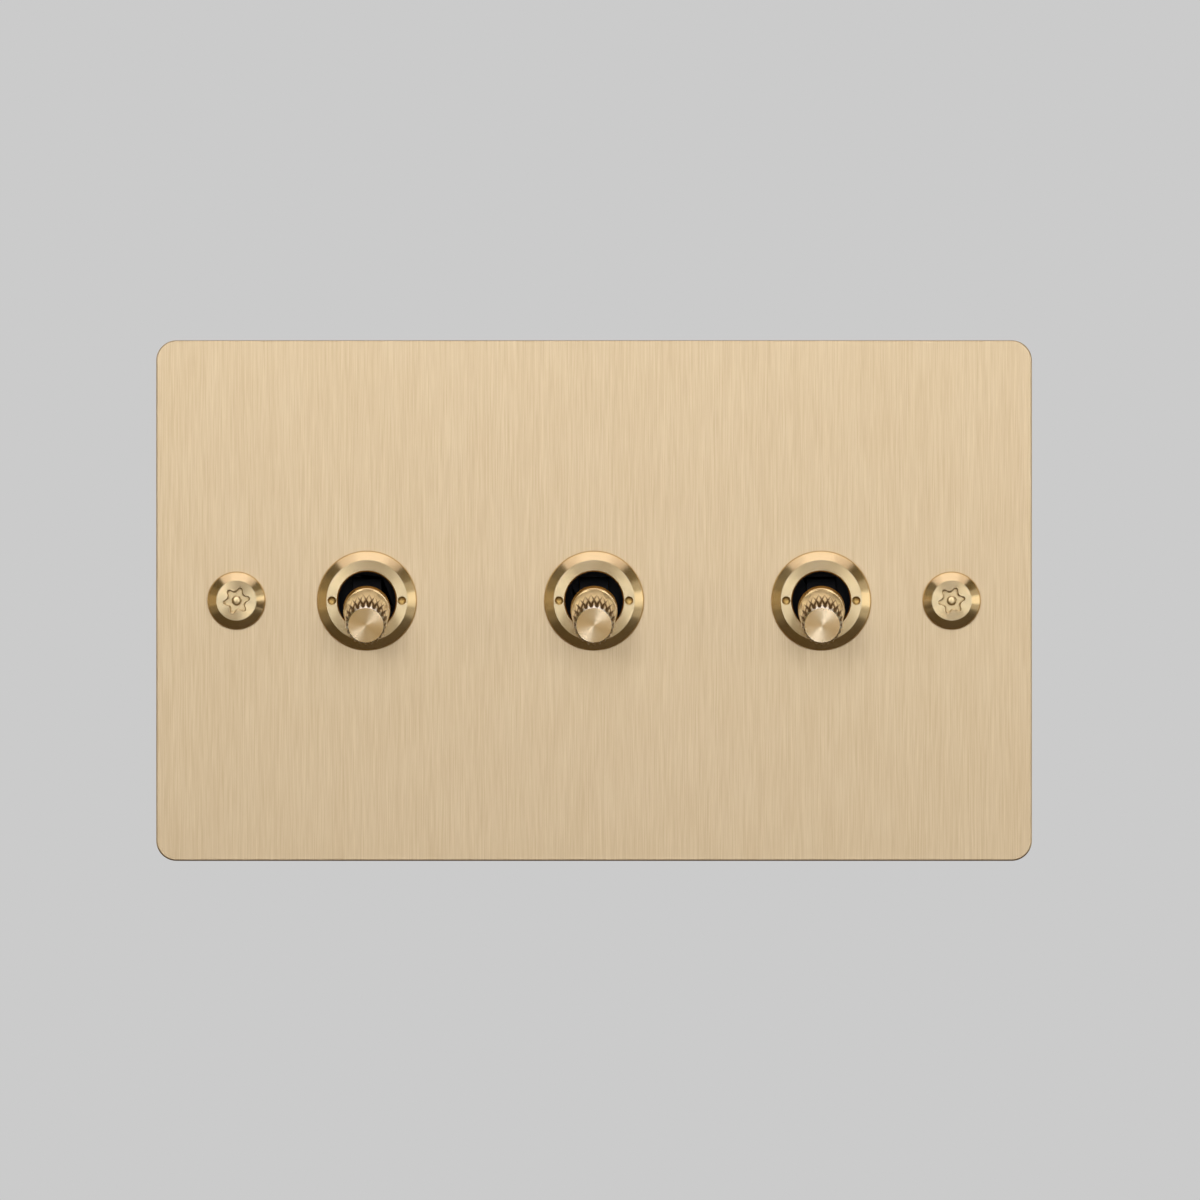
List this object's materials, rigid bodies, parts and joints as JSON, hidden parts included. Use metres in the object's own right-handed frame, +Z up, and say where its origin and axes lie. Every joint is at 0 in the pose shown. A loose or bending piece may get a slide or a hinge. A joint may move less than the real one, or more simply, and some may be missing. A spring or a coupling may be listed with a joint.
{
  "type": "toggle light switch",
  "caption": "Flat two-gang brass wall plate with knurled toggle levers in ring bezels, pinned six-lobe fixing screws and rear switch modules with pillar terminals.",
  "frame": {"origin": "centre of the plate's back face, midway between the two fixing screws", "axes": "+X to the right seen from the room, +Y into the wall along the fixing screws, +Z up"},
  "size_m": [0.1476, 0.0454, 0.0878],
  "materials": {
    "brushed_brass": "fine vertical brushing, satin lacquer",
    "turned_brass": "bright turned",
    "terminal_brass": "plain machined",
    "black_moulding": "moulded, fine grain",
    "white_nylon": "moulded",
    "contact_silver": "silver alloy, satin",
    "steel": "drawn"
  },
  "bodies": {
    "wall_unit": {"face_plate": "brushed_brass", "fixing_screws": "turned_brass", "bezel_rings": "turned_brass", "module_covers": "black_moulding", "contact_tips": "contact_silver", "earth_stud": "terminal_brass", "pivot_pin_1": "steel", "module_base_1": "black_moulding", "common_terminal_1": "terminal_brass", "upper_terminal_1": "terminal_brass", "lower_terminal_1": "terminal_brass", "pivot_pin_2": "steel", "module_base_2": "black_moulding", "common_terminal_2": "terminal_brass", "upper_terminal_2": "terminal_brass", "lower_terminal_2": "terminal_brass", "pivot_pin_3": "steel", "module_base_3": "black_moulding", "common_terminal_3": "terminal_brass", "upper_terminal_3": "terminal_brass", "lower_terminal_3": "terminal_brass"},
    "toggle_1": {"toggle_lever_1": "turned_brass", "dolly_1": "black_moulding", "plunger_spring_1": "steel"},
    "plunger_slug_1": {"plunger_1": "white_nylon"},
    "rocker_1": {"rocker_contact_1": "terminal_brass", "rocker_tips_1": "contact_silver"},
    "toggle_2": {"toggle_lever_2": "turned_brass", "dolly_2": "black_moulding", "plunger_spring_2": "steel"},
    "plunger_slug_2": {"plunger_2": "white_nylon"},
    "rocker_2": {"rocker_contact_2": "terminal_brass", "rocker_tips_2": "contact_silver"},
    "toggle_3": {"toggle_lever_3": "turned_brass", "dolly_3": "black_moulding", "plunger_spring_3": "steel"},
    "plunger_slug_3": {"plunger_3": "white_nylon"},
    "rocker_3": {"rocker_contact_3": "terminal_brass", "rocker_tips_3": "contact_silver"}
  },
  "joints": [
    {"name": "toggle_hinge_1", "type": "hinge", "parent": "wall_unit", "child": "toggle_1", "pos_m": [-0.0383, 0.0012, 0], "axis": [-1, 0, 0], "range_deg": [0, 26]},
    {"name": "plunger_slide_1", "type": "slide", "parent": "toggle_1", "child": "plunger_slug_1", "axis": [0, 0.9744, 0.225], "range_m": [0, 0.0003], "stiffness_N_per_m": 300},
    {"name": "rocker_hinge_1", "type": "hinge", "parent": "wall_unit", "child": "rocker_1", "pos_m": [-0.0383, 0.01271, 0], "axis": [1, 0, 0], "range_deg": [0, 20]},
    {"name": "toggle_hinge_2", "type": "hinge", "parent": "wall_unit", "child": "toggle_2", "pos_m": [0, 0.0012, 0], "axis": [-1, 0, 0], "range_deg": [0, 26]},
    {"name": "plunger_slide_2", "type": "slide", "parent": "toggle_2", "child": "plunger_slug_2", "axis": [0, 0.9744, 0.225], "range_m": [0, 0.0003], "stiffness_N_per_m": 300},
    {"name": "rocker_hinge_2", "type": "hinge", "parent": "wall_unit", "child": "rocker_2", "pos_m": [0, 0.01271, 0], "axis": [1, 0, 0], "range_deg": [0, 20]},
    {"name": "toggle_hinge_3", "type": "hinge", "parent": "wall_unit", "child": "toggle_3", "pos_m": [0.0383, 0.0012, 0], "axis": [-1, 0, 0], "range_deg": [0, 26]},
    {"name": "plunger_slide_3", "type": "slide", "parent": "toggle_3", "child": "plunger_slug_3", "axis": [0, 0.9744, 0.225], "range_m": [0, 0.0003], "stiffness_N_per_m": 300},
    {"name": "rocker_hinge_3", "type": "hinge", "parent": "wall_unit", "child": "rocker_3", "pos_m": [0.0383, 0.01271, 0], "axis": [1, 0, 0], "range_deg": [0, 20]}
  ],
  "couplings": [
    {"joint": "rocker_hinge_1", "follows": "toggle_hinge_1", "ratio": 0.76923},
    {"joint": "rocker_hinge_2", "follows": "toggle_hinge_2", "ratio": 0.76923},
    {"joint": "rocker_hinge_3", "follows": "toggle_hinge_3", "ratio": 0.76923}
  ]
}
